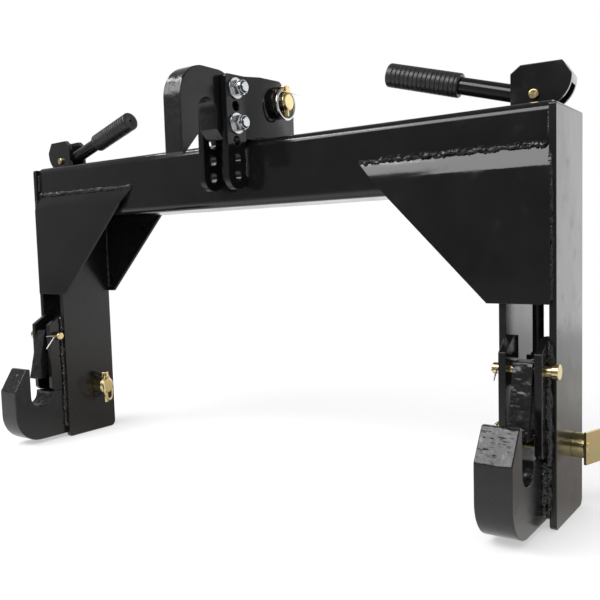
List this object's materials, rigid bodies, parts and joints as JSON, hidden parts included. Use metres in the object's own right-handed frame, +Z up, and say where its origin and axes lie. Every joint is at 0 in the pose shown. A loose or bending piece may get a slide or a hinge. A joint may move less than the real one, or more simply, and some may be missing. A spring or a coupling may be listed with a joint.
{
  "type": "three point quick hitch",
  "caption": "Tractor quick hitch frame with a fixed top hook, two lower hooks with latches, and cam levers that lift the latches open.",
  "frame": {"origin": "midway between the two lower sockets, on the axis that both share", "axes": "+X along the cross beam, -Y to the implement, +Y to the tractor, +Z up"},
  "size_m": [0.9408, 0.2119, 0.55],
  "materials": {
    "frame_paint": "gloss black enamel over welded steel",
    "latch_paint": "gloss black over a flame cut face",
    "dark_steel": "black painted bar",
    "grip_vinyl": "ribbed black vinyl",
    "yellow_zinc": "yellow zinc plate",
    "bright_zinc": "bright zinc plate"
  },
  "bodies": {
    "frame": {"bracket_plate_left": "frame_paint", "bracket_plate_right": "frame_paint", "cross_beam": "frame_paint", "front_gusset_left": "frame_paint", "front_gusset_right": "frame_paint", "hook_bolts": "bright_zinc", "hook_nuts": "bright_zinc", "hook_washers": "bright_zinc", "latch_cheek_inner_left": "frame_paint", "latch_cheek_inner_right": "frame_paint", "latch_cheek_outer_left": "frame_paint", "latch_cheek_outer_right": "frame_paint", "latch_cotter_left": "bright_zinc", "latch_cotter_right": "bright_zinc", "latch_pin_left": "yellow_zinc", "latch_pin_right": "yellow_zinc", "leg_inner_plate_left": "frame_paint", "leg_inner_plate_right": "frame_paint", "leg_outer_plate_left": "frame_paint", "leg_outer_plate_right": "frame_paint", "lower_hook_left": "frame_paint", "lower_hook_right": "frame_paint", "lower_linch_pin_left": "yellow_zinc", "lower_linch_pin_right": "yellow_zinc", "lower_link_pin_left": "yellow_zinc", "lower_link_pin_right": "yellow_zinc", "pin_boss_left": "frame_paint", "pin_boss_right": "frame_paint", "rear_gusset_left": "frame_paint", "rear_gusset_right": "frame_paint", "top_hook": "frame_paint", "top_linch_pin": "yellow_zinc", "top_link_pin": "yellow_zinc"},
    "lift_right": {"lift_rod_right": "dark_steel", "lift_yoke_right": "dark_steel", "yoke_pin_right": "bright_zinc"},
    "lever_right": {"lever_head_right": "frame_paint", "lever_bar_right": "dark_steel", "lever_grip_right": "grip_vinyl", "lever_pin_right": "yellow_zinc"},
    "latch_right": {"latch_right": "latch_paint"},
    "lower_ring_right": {"lower_linch_ring_right": "yellow_zinc"},
    "lift_left": {"lift_rod_left": "dark_steel", "lift_yoke_left": "dark_steel", "yoke_pin_left": "bright_zinc"},
    "lever_left": {"lever_head_left": "frame_paint", "lever_bar_left": "dark_steel", "lever_grip_left": "grip_vinyl", "lever_pin_left": "yellow_zinc"},
    "latch_left": {"latch_left": "latch_paint"},
    "lower_ring_left": {"lower_linch_ring_left": "yellow_zinc"},
    "top_ring": {"top_linch_ring": "bright_zinc"}
  },
  "joints": [
    {"name": "lift_slide_right", "type": "slide", "parent": "frame", "child": "lift_right", "axis": [0, 0, 1], "range_m": [0, 0.028]},
    {"name": "lever_swing_right", "type": "hinge", "parent": "lift_right", "child": "lever_right", "pos_m": [0.4085, 0.09695, 0.3929], "axis": [-0.0872, 0.9962, 0], "range_deg": [0, 90]},
    {"name": "latch_swing_right", "type": "hinge", "parent": "frame", "child": "latch_right", "pos_m": [0.4125, 0.037, 0.0958], "axis": [1, 0, 0], "range_deg": [0, 26.63]},
    {"name": "lower_ring_swing_right", "type": "hinge", "parent": "frame", "child": "lower_ring_right", "pos_m": [0.3636, 0.1139, 0.0192], "axis": [0.5736, 0.8192, 0], "range_deg": [0, 150]},
    {"name": "lift_slide_left", "type": "slide", "parent": "frame", "child": "lift_left", "axis": [0, 0, 1], "range_m": [0, 0.028]},
    {"name": "lever_swing_left", "type": "hinge", "parent": "lift_left", "child": "lever_left", "pos_m": [-0.4085, 0.09695, 0.3929], "axis": [-0.0872, -0.9962, 0], "range_deg": [0, 90]},
    {"name": "latch_swing_left", "type": "hinge", "parent": "frame", "child": "latch_left", "pos_m": [-0.4125, 0.037, 0.0958], "axis": [1, 0, 0], "range_deg": [0, 26.63]},
    {"name": "lower_ring_swing_left", "type": "hinge", "parent": "frame", "child": "lower_ring_left", "pos_m": [-0.3636, 0.1139, 0.0192], "axis": [0.5736, -0.8192, 0], "range_deg": [0, 150]},
    {"name": "top_ring_swing", "type": "hinge", "parent": "frame", "child": "top_ring", "pos_m": [0.051, 0.11195, 0.4535], "axis": [0, -1, 0], "range_deg": [0, 150]}
  ],
  "couplings": [
    {"joint": "lift_slide_right", "follows": "lever_swing_right", "m_per_rad": 0.017825},
    {"joint": "latch_swing_right", "follows": "lever_swing_right", "ratio": 0.29588},
    {"joint": "lift_slide_left", "follows": "lever_swing_left", "m_per_rad": 0.017825},
    {"joint": "latch_swing_left", "follows": "lever_swing_left", "ratio": 0.29588}
  ]
}
